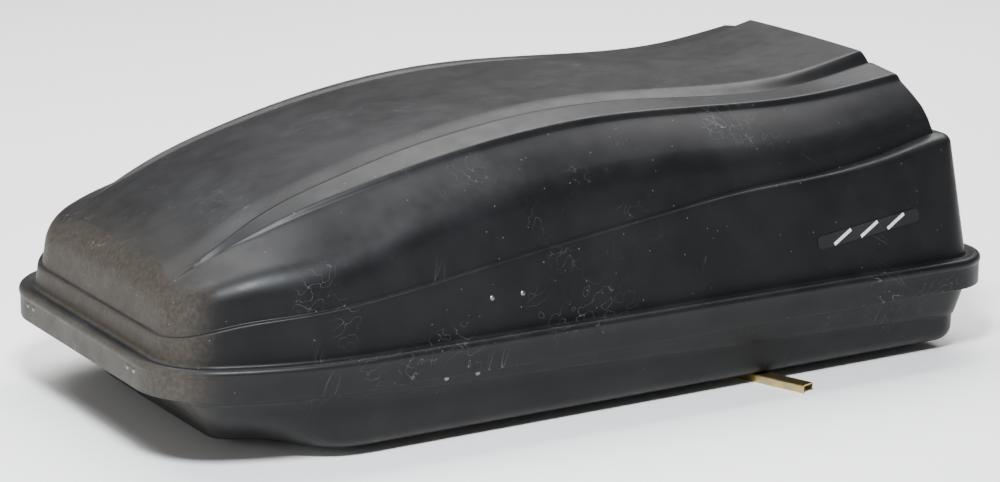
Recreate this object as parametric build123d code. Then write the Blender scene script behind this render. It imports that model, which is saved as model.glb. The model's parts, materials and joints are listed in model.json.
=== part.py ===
from build123d import *
import math
import os

# A hard-shell roof cargo box: moulded lid and tray, front hinges, folding lid stays,
# rear key locks, and four clamp bars that turn under the roof bars of a car.
# X runs from the low nose (-X) to the tall rear (+X), Z is up, Z = 0 is the surface
# under the clamp bars, and X = Y = 0 is the middle of the lip.

# --- driving dimensions, mm ---
LENGTH = 1700.0          # over the lip
WIDTH = 900.0
SHEET = 4.0              # moulded sheet thickness
FLOOR_Z = 16.0           # underside of the tray
SEAM_Z = 188.0           # crease between the lid's wall and its lip
NOSE_R = 160.0           # plan radius of the front corners
NOSE_TURN = 65.7         # degrees turned by NOSE_R before FLANK_R takes over
FLANK_R = 700.0
NOSE_FLAT = WIDTH / 2 - FLANK_R + (FLANK_R - NOSE_R) * math.sin(math.radians(NOSE_TURN))
REAR_R = 95.0
MIN_REAR_R = 16.0
WALL_IN = 28.0           # lid wall, inward of the lip's outer face
HOOD_IN = 34.0           # hood wall at the seam level
LID_DRAFT = 9.0          # degrees
SKIRT_DROP = 54.0        # bottom of the lip, below the seam
BEAD_DROP = 11.0         # lower edge of the rounded bead
BEAD_OUT = 3.0
BEAD_RISE = 3.0          # top of the bead, above the seam
BEAD_ROUND = 9.0
RIM_IN = 8.0             # tray rim flange, inside the lip
RIM_GAP = 1.5            # between the flange and the lip's underside
TRAY_IN = 25.0           # tray wall at the bottom of the lip
TRAY_DRAFT = 18.0
LOWER_IN = 44.0          # lower tray wall under the step
LOWER_DRAFT = 3.0
BOTTOM_ROUND = 26.0

# lid profile along X: x, centre height, channel edge height, channel edge half width,
# shoulder corner height (heights above the seam)
STATIONS = [
    (-880, 40, 30, 190, 20),
    (-780, 128, 118, 232, 106),
    (-723, 163, 151, 244, 122),
    (-595, 223, 212, 263, 146),
    (-468, 265, 252, 276, 173),
    (-341, 297, 283, 283, 202),
    (-214, 321, 307, 286, 223),
    (-87, 337, 323, 286, 237),
    (40, 344, 330, 283, 246),
    (168, 341, 328, 280, 248),
    (295, 335, 322, 277, 243),
    (422, 331, 317, 276, 240),
    (549, 338, 320, 277, 246),
    (660, 358, 331, 282, 260),
    (790, 392, 350, 290, 284),
]
CENTRE_HALF = 168.0      # half width of the raised centre panel
CHANNEL_HALF = 206.0     # foot of the riser
CHANNEL_SINK = 8.0       # channel floor under the centre panel
LEDGE = [
    (-900, 20), (-816, 38), (-760, 56), (-695, 70), (-619, 77), (-426, 95), (-266, 116),
    (-100, 137), (68, 157), (200, 173), (310, 183), (465, 190), (557, 197), (651, 209),
    (746, 226), (900, 236),
]
HOOD_TAPER_X = 100.0     # the hood's sides draw in behind here
HOOD_TAPER = 24.0        # by this much at the rear
HOOD_REAR_X = 841.0      # hood's rear wall, carried down to the seam level
HOOD_REAR_LEAN = 20.0    # degrees
HOOD_CLEAR = 420.0       # a height above everything
OVERCUT = 90.0           # how far cutters reach past the walls they meet

# tray
STEP_FRONT = (-560.0, -72.0)     # the tray's step line falls from here
STEP_REAR = (740.0, -114.0)
PROW_TOP = (-800.0, -60.0)       # the sloping prow
PROW_FOOT = (-704.0, -172.0)

# fasteners and hinges
RIVET_HEAD_R = 4.8
RIVET_HEAD_H = 2.2
RIVET_R = 2.4
HOLE_GAP = 0.1           # around a rivet or bolt that doesn't turn
RUN_GAP = 0.05           # around a pin that something turns on
FACE_GAP = 0.5           # between flat faces that slide past each other
PLATE_T = 2.0
HINGE_Y = 222.0
HINGE_X = -834.0
HINGE_Z = SEAM_Z - 58.0
HINGE_L = 40.0
HINGE_R = 5.0
HINGE_RIVET_Y = 13.0     # either side of the hinge's middle
LID_RIVET_Z = SEAM_Z - 22.0
TRAY_RIVET_Z = SEAM_Z - 19.0
PIN_R = 2.5

# folding lid stays: x and height above the seam of each pivot
STAY_BASE = (-312.0, -66.0)
STAY_LID = (-215.0, 63.0)
STAY_KNEE = (84.0, 42.0)
STAY_Y = 401.0           # half width at the outer face of the lower link
LINK_T = 3.0
LINK_R = 9.0
STAY_RIVET_X = 31.0      # either side of the pivot

# rear key locks
LOCK_Y = 235.0
LOCK_UP = 38.0
LOCK_R = 9.0
PLUG_R = 6.0
CAM_REACH = 62.0
CAM_DEPTH = 22.0         # cam plane behind the wall's outer face
CAM_W = 14.0
CAM_T = 2.5
CAM_FOOT = 10.0
STRIKE_TAB_DROP = 14.0   # top of the strike's tab, below the seam
STRIKE_H = 30.0
STRIKE_L = 44.0
STRIKE_TAB = (15.0, 20.0)    # reach and width
STRIKE_RIVET_Y = 12.0    # either side of the strike's middle
STRIKE_RIVET_DROP = 34.0

# roof clamps
CLAMP_X = (-430.0, 320.0)
CLAMP_Y = 300.0
SPARE_X = (-560.0, 450.0)    # a second set of bolt holes, for roof bars further apart
BAR_L = 266.0
BAR_W = 30.0
BAR_T = 2.5
BAR_TOP = FLOOR_Z - FACE_GAP
BAR_SHORT_END = 72.0     # from the bolt to the bar's nearer end
BOLT_R = 4.0
BOLT_HOLE_R = 4.6
BOLT_TOP = 66.0
SPREADER = (70.0, 50.0, 3.0)
TURNED_OUT = 71.0        # degrees from +X, the rear bars' long ends

# side name plates, left blank but for three slanted ribs
PLATE_AT = (567.0, 81.0)
PLATE_SIZE = (236.0, 25.0, 1.6)
PLATE_SLOPE = 6.5        # degrees, rising to the rear

os.makedirs("parts", exist_ok=True)


def save(name, shape):
    """Write one sub-part to its own file."""
    shape.label = name
    export_step(shape, f"parts/{name}.step")


# --- plan outlines ---

def plan(inset, z):
    """The lip's plan outline, drawn in by inset, as a face at height z."""
    turn = math.radians(NOSE_TURN)
    corner = (-LENGTH / 2 + NOSE_R, NOSE_FLAT)
    flank_x = corner[0] + (FLANK_R - NOSE_R) * math.cos(turn)
    flank_y = WIDTH / 2 - FLANK_R
    rear_r = max(REAR_R - inset, MIN_REAR_R)
    rear = (LENGTH / 2 - inset - rear_r, WIDTH / 2 - inset - rear_r)
    edges = []
    for side in (1, -1):
        start, end = (180, 180 - NOSE_TURN) if side > 0 else (180, 180 + NOSE_TURN)
        edges.append(arc(corner[0], side * corner[1], NOSE_R - inset, start, end))
        start, end = (180 - NOSE_TURN, 90) if side > 0 else (180 + NOSE_TURN, 270)
        edges.append(arc(flank_x, side * flank_y, FLANK_R - inset, start, end))
        y_side = side * (WIDTH / 2 - inset)
        edges.append(Line((flank_x, y_side), (rear[0], y_side)))
        start, end = (90, 0) if side > 0 else (-90, 0)
        edges.append(arc(rear[0], side * rear[1], rear_r, start, end))
    x_front = -LENGTH / 2 + inset
    x_rear = LENGTH / 2 - inset
    edges.append(Line((x_front, -corner[1]), (x_front, corner[1])))
    edges.append(Line((x_rear, -rear[1]), (x_rear, rear[1])))
    return Pos(0, 0, z) * make_face(edges)


def arc(cx, cy, radius, start, end):
    """An arc through its own middle point, angles in degrees."""
    def point(angle):
        a = math.radians(angle)
        return (cx + radius * math.cos(a), cy + radius * math.sin(a))
    return ThreePointArc(point(start), point((start + end) / 2), point(end))


def column(inset, z_low, z_high, draft=0.0):
    """The outline raised from z_low to z_high, drawn in by draft degrees as it rises."""
    body = extrude(plan(inset, z_low), amount=z_high - z_low, taper=draft)
    if body.bounding_box().min.Z < z_low - 1:
        body = mirror(body, about=Plane.XY.offset(z_low))
    return body


def drop(inset, z_high, z_low, draft=0.0):
    """The outline lowered from z_high to z_low, drawn in by draft degrees as it drops."""
    body = extrude(plan(inset, z_high), amount=z_high - z_low, taper=draft)
    if body.bounding_box().max.Z > z_high + 1:
        body = mirror(body, about=Plane.XY.offset(z_high))
    return body


def under_curve(points, z_shift, depth=600.0):
    """A wide solid under a smooth profile along X."""
    curve = Spline(*[(x, 0, z + SEAM_Z + z_shift) for x, z in points])
    low = SEAM_Z - depth
    start = curve @ 0
    end = curve @ 1
    sides = [
        Line(end, (end.X, 0, low)),
        Line((end.X, 0, low), (start.X, 0, low)),
        Line((start.X, 0, low), start),
    ]
    return extrude(make_face([curve] + sides), amount=WIDTH, both=True)


# --- lid ---

def lid_column(inset, below):
    """A drafted column whose inset is exact at the seam; it starts below it."""
    start = inset - below * math.tan(math.radians(LID_DRAFT))
    return column(start, SEAM_Z - below, SEAM_Z + HOOD_CLEAR, LID_DRAFT)


def hood_section(row, skin):
    """The hood's cross-section at one station, moved inward by skin and wider than its walls."""
    x, z_centre, z_edge, y_edge, z_corner = row
    y_corner = hood_wall_y(x, z_corner)
    fall = (z_edge - z_corner) / (y_corner - y_edge)
    half = [
        (y_corner + OVERCUT, -OVERCUT),
        (y_corner + OVERCUT, z_corner - OVERCUT * fall - skin),
        (y_edge, z_edge - skin),
        (CHANNEL_HALF, z_centre - CHANNEL_SINK - skin),
        (CENTRE_HALF, z_centre - skin),
    ]
    points = [(x, -y, z + SEAM_Z) for y, z in half]
    points += [(x, y, z + SEAM_Z) for y, z in reversed(half)]
    return make_face(Polyline(*points, close=True))


def hood_wall_y(x, height):
    """Half width of the hood's side wall at x, height above the seam."""
    behind = max(0.0, x - HOOD_TAPER_X)
    draft = math.tan(math.radians(LID_DRAFT))
    return WIDTH / 2 - HOOD_IN - height * draft - behind * HOOD_TAPER / (LENGTH / 2 - HOOD_TAPER_X)


def hood_side_cut(side, skin):
    """The block cut away outside the hood's drawn-in rear flank."""
    turn = math.degrees(math.atan2(HOOD_TAPER, LENGTH / 2 - HOOD_TAPER_X))
    block = Box(2000, 400, 1600, align=(Align.CENTER, Align.MIN, Align.CENTER))
    block = Rot(0, 0, -turn) * Rot(LID_DRAFT, 0, 0) * block
    if side < 0:
        block = mirror(block, about=Plane.XZ)
    return Pos(HOOD_TAPER_X, side * (WIDTH / 2 - HOOD_IN - skin), SEAM_Z) * block


def hood_form(skin):
    """The raised hood, moved inward by skin."""
    body = loft([hood_section(row, skin) for row in STATIONS])
    body &= lid_column(HOOD_IN + skin, 0.5)
    for side in (1, -1):
        body -= hood_side_cut(side, skin)
    rear = Pos(HOOD_REAR_X - skin, 0, SEAM_Z) * Rot(0, -HOOD_REAR_LEAN, 0)
    body -= rear * Box(400, WIDTH * 2, 1200, align=(Align.MIN, Align.CENTER, Align.CENTER))
    return body


def lid_form(skin):
    """Hood and lower wall together, moved inward by skin."""
    lower = lid_column(WALL_IN + skin, 1.0)
    lower &= under_curve(LEDGE, -skin)
    return lower + hood_form(skin)


def lip_form():
    """The rounded bead and the skirt under it."""
    bead_low = SEAM_Z - BEAD_DROP
    skirt = column(0, SEAM_Z - SKIRT_DROP, bead_low)
    bead = extrude(plan(-BEAD_OUT, bead_low), amount=BEAD_DROP + BEAD_RISE, dir=(0, 0, 1))
    bead = fillet(bead.edges().group_by(Axis.Z)[-1], BEAD_ROUND)
    return skirt + bead


def lid_shell():
    """The whole moulded lid with its hollow."""
    body = lid_form(0) + lip_form()
    body -= lid_form(SHEET)
    body -= column(SHEET, SEAM_Z - SKIRT_DROP - 1, SEAM_Z - SHEET)
    body -= column(WALL_IN + SHEET + 1, SEAM_Z - SHEET - 1, SEAM_Z + 1)
    return body


# --- tray ---

def step_cut():
    """Everything above the tray's sloping step line."""
    rise = math.degrees(math.atan2(STEP_FRONT[1] - STEP_REAR[1], STEP_REAR[0] - STEP_FRONT[0]))
    mid = ((STEP_FRONT[0] + STEP_REAR[0]) / 2, (STEP_FRONT[1] + STEP_REAR[1]) / 2)
    block = Box(3000, 2000, 500, align=(Align.CENTER, Align.CENTER, Align.MIN))
    return Pos(mid[0], 0, SEAM_Z + mid[1]) * Rot(0, rise, 0) * block


def prow_cut(skin):
    """The block cut away in front of the sloping prow."""
    dx = PROW_FOOT[0] - PROW_TOP[0]
    dz = PROW_TOP[1] - PROW_FOOT[1]
    lean = math.degrees(math.atan2(dx, dz))
    block = Box(600, 2000, 900, align=(Align.MAX, Align.CENTER, Align.CENTER))
    return Pos(PROW_TOP[0] + skin, 0, SEAM_Z + PROW_TOP[1]) * Rot(0, -lean, 0) * block


def tray_form(skin):
    """The tray's solid form, moved inward by skin."""
    z_lip = SEAM_Z - SKIRT_DROP
    upper = drop(TRAY_IN + skin, z_lip, FLOOR_Z + skin, TRAY_DRAFT) & step_cut()
    lower = drop(LOWER_IN + skin, z_lip - 20, FLOOR_Z + skin, LOWER_DRAFT)
    lower = fillet(lower.edges().group_by(Axis.Z)[0], BOTTOM_ROUND - skin)
    wall = column(TRAY_IN + skin, z_lip - 0.5, SEAM_Z - SHEET - RIM_GAP)
    return (upper + lower + wall) - prow_cut(skin)


def base_shell():
    """The moulded tray with its rim flange and the holes for the clamp bolts."""
    top = SEAM_Z - SHEET - RIM_GAP
    body = tray_form(0) + column(RIM_IN, top - SHEET, top)
    body -= tray_form(SHEET) + column(TRAY_IN + SHEET, top - 1, top + 1)
    for x, y in clamp_spots(CLAMP_X) + clamp_spots(SPARE_X):
        body -= Pos(x, y, FLOOR_Z) * Cylinder(BOLT_HOLE_R, 30)
    return body


# --- fasteners ---

def rivet(place, grip):
    """A domed rivet with its head on the place's plane and its tail a grip behind."""
    dome_r = (RIVET_HEAD_R ** 2 + RIVET_HEAD_H ** 2) / (2 * RIVET_HEAD_H)
    low = (Align.CENTER, Align.CENTER, Align.MIN)
    high = (Align.CENTER, Align.CENTER, Align.MAX)
    head = Pos(0, 0, RIVET_HEAD_H - dome_r) * Sphere(dome_r)
    head &= Cylinder(RIVET_HEAD_R, RIVET_HEAD_H * 2, align=low)
    body = head + Cylinder(RIVET_R, grip, align=high)
    body += Pos(0, 0, -grip) * Cylinder(RIVET_R * 1.5, 1.8, align=high)
    return place * body


def rivet_hole(place):
    """A through hole for a rivet."""
    return place * Cylinder(RIVET_R + HOLE_GAP, 16)


def lid_wall(x, height, side):
    """A plane on the lid's outer side wall, facing out."""
    draft = math.radians(LID_DRAFT)
    y = side * (WIDTH / 2 - WALL_IN - height * math.tan(draft))
    normal = (0, side * math.cos(draft), math.sin(draft))
    return Plane(origin=(x, y, SEAM_Z + height), x_dir=(1, 0, 0), z_dir=normal)


def tray_wall(x, height, side):
    """A plane on the tray's outer side wall under the lip, facing out."""
    draft = math.radians(TRAY_DRAFT)
    y = side * (WIDTH / 2 - TRAY_IN + (height + SKIRT_DROP) * math.tan(draft))
    normal = (0, side * math.cos(draft), -math.sin(draft))
    return Plane(origin=(x, y, SEAM_Z + height), x_dir=(1, 0, 0), z_dir=normal)


def front_place(x, y, z):
    """A plane facing forward."""
    return Plane(origin=(x, y, z), x_dir=(0, 1, 0), z_dir=(-1, 0, 0))


def hinge_spots(spread):
    """The Y of every rivet of the hinges, or of their middles when spread is 0."""
    offsets = (-spread, spread) if spread else (0,)
    return [side * HINGE_Y + dy for side in (-1, 1) for dy in offsets]


def lid_hinge_rivets():
    x = -LENGTH / 2
    return [front_place(x, y, LID_RIVET_Z) for y in hinge_spots(HINGE_RIVET_Y)]


def tray_hinge_rivets():
    x = -LENGTH / 2 + TRAY_IN - PLATE_T
    return [front_place(x, y, TRAY_RIVET_Z) for y in hinge_spots(HINGE_RIVET_Y)]


def stay_rivets(wall, pivot, side):
    return [wall(pivot[0] + dx, pivot[1], side) for dx in (-STAY_RIVET_X, STAY_RIVET_X)]


def strike_rivets():
    """Planes on the tray's outer rear wall, facing back."""
    x = LENGTH / 2 - TRAY_IN
    offsets = (-STRIKE_RIVET_Y, STRIKE_RIVET_Y)
    spots = [side * LOCK_Y + dy for side in (-1, 1) for dy in offsets]
    z = SEAM_Z - STRIKE_RIVET_DROP
    return [Plane(origin=(x, y, z), x_dir=(0, 1, 0), z_dir=(1, 0, 0)) for y in spots]


def clamp_spots(rows):
    return [(x, side * CLAMP_Y) for x in rows for side in (-1, 1)]


# --- hinges ---

def knuckles(y_mid, own):
    """Barrel segments for one leaf: own is the list of segments out of five."""
    seg = HINGE_L / 5
    gap = 0.2
    body = None
    for n in own:
        y = y_mid - HINGE_L / 2 + seg * (n + 0.5)
        part = Pos(HINGE_X, y, HINGE_Z) * Rot(90, 0, 0) * Cylinder(HINGE_R, seg - 2 * gap)
        body = part if body is None else body + part
    return body


def strip(points, y_mid, length):
    """A bent strip: an XZ outline widened along Y."""
    outline = make_face(Polyline(*[(x, y_mid, z) for x, z in points], close=True))
    return extrude(outline, amount=length / 2, dir=(0, 1, 0), both=True)


def hinge_leaf(y_mid, lid_side):
    """One leaf with its share of the barrel, bored for the pin."""
    wall = -LENGTH / 2 + SHEET if lid_side else -LENGTH / 2 + TRAY_IN - PLATE_T
    plate_low = HINGE_Z + 8
    plate_top = SEAM_Z - 10
    plate = [(wall, plate_top), (wall + PLATE_T, plate_top),
             (wall + PLATE_T, plate_low), (wall, plate_low)]
    body = strip(plate, y_mid, HINGE_L)
    web = [(wall, plate_low + 1), (wall + PLATE_T, plate_low + 1),
           (HINGE_X + 1, HINGE_Z - HINGE_R + 1), (HINGE_X - 1, HINGE_Z - HINGE_R + 1)]
    own = (0, 2, 4) if lid_side else (1, 3)
    seg = HINGE_L / 5
    for n in own:
        body += strip(web, y_mid - HINGE_L / 2 + seg * (n + 0.5), seg - 0.4)
    body += knuckles(y_mid, own)
    body -= Pos(HINGE_X, y_mid, HINGE_Z) * Rot(90, 0, 0) * Cylinder(PIN_R + RUN_GAP, HINGE_L * 2)
    places = lid_hinge_rivets() if lid_side else tray_hinge_rivets()
    for place in places:
        body -= rivet_hole(place)
    return body


def hinge_pin(y_mid):
    pin = Cylinder(PIN_R, HINGE_L + 1) + Pos(0, 0, HINGE_L / 2 + 1.5) * Cylinder(PIN_R + 1.5, 2)
    return Pos(HINGE_X, y_mid, HINGE_Z) * Rot(90, 0, 0) * pin


# --- lid stays ---

def stay_bracket(wall, pivot, side, tab_y):
    """A riveted foot on the wall with a tab standing clear of it for the pivot."""
    place = wall(pivot[0], pivot[1], side)
    lean = place.z_dir
    half = 10.0
    x_half = STAY_RIVET_X + 9
    rise = -lean.Z / lean.Y * half
    face_y = place.origin.Y - side * SHEET
    z_mid = place.origin.Z
    foot = [(face_y - rise, z_mid - half), (face_y + rise, z_mid + half),
            (face_y + rise - side * PLATE_T, z_mid + half),
            (face_y - rise - side * PLATE_T, z_mid - half)]
    body = slab(foot, pivot[0], 2 * x_half)
    inner = side * tab_y
    web = [(face_y + rise - side * PLATE_T, z_mid + half - PLATE_T),
           (face_y + rise - side * PLATE_T, z_mid + half),
           (inner, z_mid + half), (inner, z_mid + half - PLATE_T)]
    tab = [(inner, z_mid + half), (inner + side * PLATE_T, z_mid + half),
           (inner + side * PLATE_T, z_mid - half), (inner, z_mid - half)]
    body += slab(web, pivot[0], 2 * LINK_R + 4) + slab(tab, pivot[0], 2 * LINK_R + 4)
    for rivet_place in stay_rivets(wall, pivot, side):
        body -= rivet_hole(rivet_place)
    return body


def slab(points, x_mid, length):
    """A YZ outline widened along X."""
    outline = make_face(Polyline(*[(x_mid, y, z) for y, z in points], close=True))
    return extrude(outline, amount=length / 2, dir=(1, 0, 0), both=True)


def pin_y(pivot, side, y_out, y_in, radius):
    """A round pin along Y between two half widths, at a pivot."""
    mid = side * (y_out + y_in) / 2
    return Pos(pivot[0], mid, SEAM_Z + pivot[1]) * Rot(90, 0, 0) * Cylinder(radius, abs(y_out - y_in))


def link(start, end, side, y_out, bores):
    """A flat round-ended link between two pivots; bores are the hole radii at each."""
    dx = end[0] - start[0]
    dz = end[1] - start[1]
    length = math.hypot(dx, dz)
    angle = math.degrees(math.atan2(dz, dx))
    outline = SlotCenterToCenter(length, LINK_R * 2)
    body = extrude(outline, amount=LINK_T / 2, both=True)
    for x, radius in ((-length / 2, bores[0]), (length / 2, bores[1])):
        body -= Pos(x, 0, 0) * Cylinder(radius, LINK_T * 2)
    middle = ((start[0] + end[0]) / 2, (start[1] + end[1]) / 2)
    y_mid = side * (y_out - LINK_T / 2)
    return Pos(middle[0], y_mid, SEAM_Z + middle[1]) * Rot(0, -angle, 0) * Rot(90, 0, 0) * body


def save_stay(name, side):
    """Everything of one lid stay."""
    lower_in = STAY_Y - LINK_T
    upper_out = lower_in - FACE_GAP
    upper_in = upper_out - LINK_T
    tab_y = STAY_Y + FACE_GAP
    run = PIN_R + RUN_GAP
    bracket = stay_bracket(tray_wall, STAY_BASE, side, tab_y)
    bracket -= pin_y(STAY_BASE, side, tab_y + 5, tab_y - 5, PIN_R + HOLE_GAP)
    save(f"stay_base_bracket_{name}", bracket)
    save(f"stay_lid_bracket_{name}", stay_bracket(lid_wall, STAY_LID, side, upper_out + FACE_GAP))
    save(f"stay_lower_link_{name}", link(STAY_BASE, STAY_KNEE, side, STAY_Y, (run, PIN_R + HOLE_GAP)))
    save(f"stay_upper_link_{name}", link(STAY_LID, STAY_KNEE, side, upper_out, (PIN_R + HOLE_GAP, run)))
    pin = pin_y(STAY_BASE, side, tab_y + PLATE_T, lower_in - 0.3, PIN_R)
    pin += pin_y(STAY_BASE, side, tab_y + PLATE_T + 1.8, tab_y + PLATE_T, PIN_R + 2)
    pin += pin_y(STAY_BASE, side, lower_in - 0.3, lower_in - 2.3, PIN_R + 2)
    save(f"stay_base_pin_{name}", pin)
    knee = pin_y(STAY_KNEE, side, STAY_Y, upper_in - 0.3, PIN_R)
    knee += pin_y(STAY_KNEE, side, STAY_Y + 1.8, STAY_Y, PIN_R + 2)
    knee += pin_y(STAY_KNEE, side, upper_in - 0.3, upper_in - 2.3, PIN_R + 2)
    save(f"stay_knee_pin_{name}", knee)
    stud = pin_y(STAY_LID, side, upper_out + 0.2, upper_in, PIN_R)
    stud += pin_y(STAY_LID, side, upper_in, upper_in - 2, PIN_R + 2)
    save(f"stay_lid_stud_{name}", stud)
    base_set = [rivet(place, rivet_grip(TRAY_DRAFT)) for place in stay_rivets(tray_wall, STAY_BASE, side)]
    lid_set = [rivet(place, rivet_grip(LID_DRAFT)) for place in stay_rivets(lid_wall, STAY_LID, side)]
    save(f"stay_base_rivets_{name}", Compound(children=base_set))
    save(f"stay_lid_rivets_{name}", Compound(children=lid_set))


def rivet_grip(draft):
    """Sheet and plate together, measured square to a wall that leans by draft degrees."""
    return (SHEET + PLATE_T) * math.cos(math.radians(draft)) + 0.05


# --- rear locks ---

def lock_place(side):
    """A plane on the lid's outer rear wall, facing back, its X pointing to the middle."""
    draft = math.radians(LID_DRAFT)
    x = LENGTH / 2 - WALL_IN - LOCK_UP * math.tan(draft)
    normal = (math.cos(draft), 0, math.sin(draft))
    return Plane(origin=(x, side * LOCK_Y, SEAM_Z + LOCK_UP), x_dir=(0, -side, 0), z_dir=normal)


def ring(outer, inner, z_low, z_high):
    low = (Align.CENTER, Align.CENTER, Align.MIN)
    body = Cylinder(outer, z_high - z_low, align=low) - Cylinder(inner, z_high - z_low, align=low)
    return Pos(0, 0, z_low) * body


def lock_body(side):
    """A flanged barrel through the wall."""
    flange = fillet(ring(14, PLUG_R + RUN_GAP, 0, 2.5).edges().sort_by(Axis.Z)[-2:], 0.8)
    return lock_place(side) * (flange + ring(LOCK_R, PLUG_R + RUN_GAP, 1 - CAM_DEPTH + CAM_T, 0))


def lock_nut(side):
    low = (Align.CENTER, Align.CENTER, Align.MIN)
    nut = extrude(RegularPolygon(13, 6), amount=4) - Cylinder(LOCK_R + HOLE_GAP, 5, align=low)
    return lock_place(side) * Pos(0, 0, -SHEET - 4.2) * nut


def lock_plug(side):
    """The keyed plug that carries the cam."""
    low = (Align.CENTER, Align.CENTER, Align.MIN)
    length = CAM_DEPTH + 3 + CAM_T / 2
    plug = Pos(0, 0, 3 - length) * Cylinder(PLUG_R, length, align=low)
    plug -= Pos(0, 0, 3) * Box(1.6, 7.5, 6)
    return lock_place(side) * plug


def lock_cam(side):
    """The cam: an arm toward the middle of the box, with a foot at its tip."""
    mid_left = (Align.MIN, Align.CENTER, Align.CENTER)
    arm = Box(CAM_REACH, CAM_W, CAM_T, align=mid_left) + Cylinder(PLUG_R + 4, CAM_T)
    foot = Box(6, CAM_W, CAM_FOOT, align=(Align.MAX, Align.CENTER, Align.MIN))
    arm += Pos(CAM_REACH, 0, CAM_T / 2) * foot
    arm -= Cylinder(PLUG_R + HOLE_GAP / 2, 10)
    return lock_place(side) * Pos(0, 0, -CAM_DEPTH) * arm


def strike(side):
    """An angle bracket on the tray's inner rear wall, whose tab the cam's foot goes under."""
    wall = LENGTH / 2 - TRAY_IN - SHEET
    top = SEAM_Z - STRIKE_TAB_DROP
    foot = top - STRIKE_H
    tip = wall - STRIKE_TAB[0]
    plate = [(wall, top), (wall - PLATE_T, top), (wall - PLATE_T, foot), (wall, foot)]
    tab = [(wall, top), (tip, top), (tip, top - PLATE_T), (wall, top - PLATE_T)]
    body = strip(plate, side * LOCK_Y, STRIKE_L) + strip(tab, side * LOCK_Y, STRIKE_TAB[1])
    for place in strike_rivets():
        body -= rivet_hole(place)
    return body


# --- roof clamps ---

def clamp_bar(x, y, angle):
    """A channel, open side down, that turns about its bolt."""
    ends = (BAR_L - BAR_SHORT_END - BAR_SHORT_END) / 2
    low = (Align.CENTER, Align.CENTER, Align.MIN)
    bar = Box(BAR_L, BAR_W, BAR_TOP, align=low)
    bar = fillet(bar.edges().filter_by(Axis.X).group_by(Axis.Z)[-1], BAR_T)
    bar -= Box(BAR_L + 1, BAR_W - 2 * BAR_T, BAR_TOP - BAR_T, align=low)
    bar = Pos(ends, 0, 0) * bar - Cylinder(BOLT_R + RUN_GAP, 60)
    return Pos(x, y, 0) * Rot(0, 0, angle) * bar


def clamp_bolt(x, y):
    """A mushroom-headed bolt, head inside the bar."""
    low = (Align.CENTER, Align.CENTER, Align.MIN)
    head_top = BAR_TOP - BAR_T - 0.3
    head = fillet(Cylinder(9.5, 4.5, align=low).edges().sort_by(Axis.Z)[0], 2.5)
    shank = Cylinder(BOLT_R, BOLT_TOP - head_top, align=low)
    shank = chamfer(shank.edges().sort_by(Axis.Z)[-1], 0.8)
    return Pos(x, y, head_top - 4.5) * head + Pos(x, y, head_top) * shank


def spreader_plate(x, y):
    plate = fillet(Box(*SPREADER).edges().filter_by(Axis.Z), 8)
    plate -= Cylinder(BOLT_HOLE_R, 10)
    return Pos(x, y, FLOOR_Z + SHEET + SPREADER[2] / 2) * plate


def wing_nut(x, y):
    """A hub with two upswept wings."""
    low = (Align.CENTER, Align.CENTER, Align.MIN)
    hub = Cone(8.5, 6.5, 10, align=low)
    wing = Polyline((3, 2), (8, 1.5), (25, 12), (26, 17), (21, 19), (6, 9.5), close=True)
    blade = extrude(Plane.XZ * make_face(wing), amount=1.6, both=True)
    body = hub + blade + Rot(0, 0, 180) * blade
    body -= Cylinder(BOLT_R + RUN_GAP, 60)
    return Pos(x, y, FLOOR_Z + SHEET + SPREADER[2] + 0.3) * body


# --- name plates ---

def side_plate(side):
    """A rounded plate on the lid's side wall with three slanted ribs."""
    place = lid_wall(PLATE_AT[0], PLATE_AT[1], side)
    length, height, thick = PLATE_SIZE
    low = (Align.CENTER, Align.CENTER, Align.MIN)
    body = fillet(Box(length, height, thick, align=low).edges().filter_by(Axis.Z), height / 3)
    for n in (-1, 0, 1):
        rib = Box(46, 6, thick + 1.2, align=low)
        body += Pos(n * 62, 0, 0) * Rot(0, 0, side * -24) * rib
    return place * Rot(0, 0, -side * PLATE_SLOPE) * body


def all_lid_holes():
    """Every hole drilled in the lid."""
    places = lid_hinge_rivets()
    for side in (-1, 1):
        places += stay_rivets(lid_wall, STAY_LID, side)
    holes = [rivet_hole(place) for place in places]
    holes += [lock_place(side) * Cylinder(LOCK_R + HOLE_GAP, 16) for side in (-1, 1)]
    return holes


def all_tray_holes():
    """Every rivet hole drilled in the tray."""
    places = tray_hinge_rivets() + strike_rivets()
    for side in (-1, 1):
        places += stay_rivets(tray_wall, STAY_BASE, side)
    return [rivet_hole(place) for place in places]


def drilled(body, holes):
    for hole in holes:
        body -= hole
    return body


# --- build ---

save("lid_shell", drilled(lid_shell(), all_lid_holes()))
save("base_shell", drilled(base_shell(), all_tray_holes()))
save("hinge_lid_rivets", Compound(children=[rivet(p, SHEET + PLATE_T) for p in lid_hinge_rivets()]))
save("hinge_base_rivets", Compound(children=[rivet(p, SHEET + PLATE_T) for p in tray_hinge_rivets()]))
save("strike_rivets", Compound(children=[rivet(p, SHEET + PLATE_T) for p in strike_rivets()]))

for name, side in (("right", -1), ("left", 1)):
    save(f"hinge_lid_leaf_{name}", hinge_leaf(side * HINGE_Y, True))
    save(f"hinge_base_leaf_{name}", hinge_leaf(side * HINGE_Y, False))
    save(f"hinge_pin_{name}", hinge_pin(side * HINGE_Y))
    save_stay(name, side)
    save(f"lock_body_{name}", lock_body(side))
    save(f"lock_nut_{name}", lock_nut(side))
    save(f"lock_plug_{name}", lock_plug(side))
    save(f"lock_cam_{name}", lock_cam(side))
    save(f"lock_strike_{name}", strike(side))
    save(f"name_plate_{name}", side_plate(side))

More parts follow.
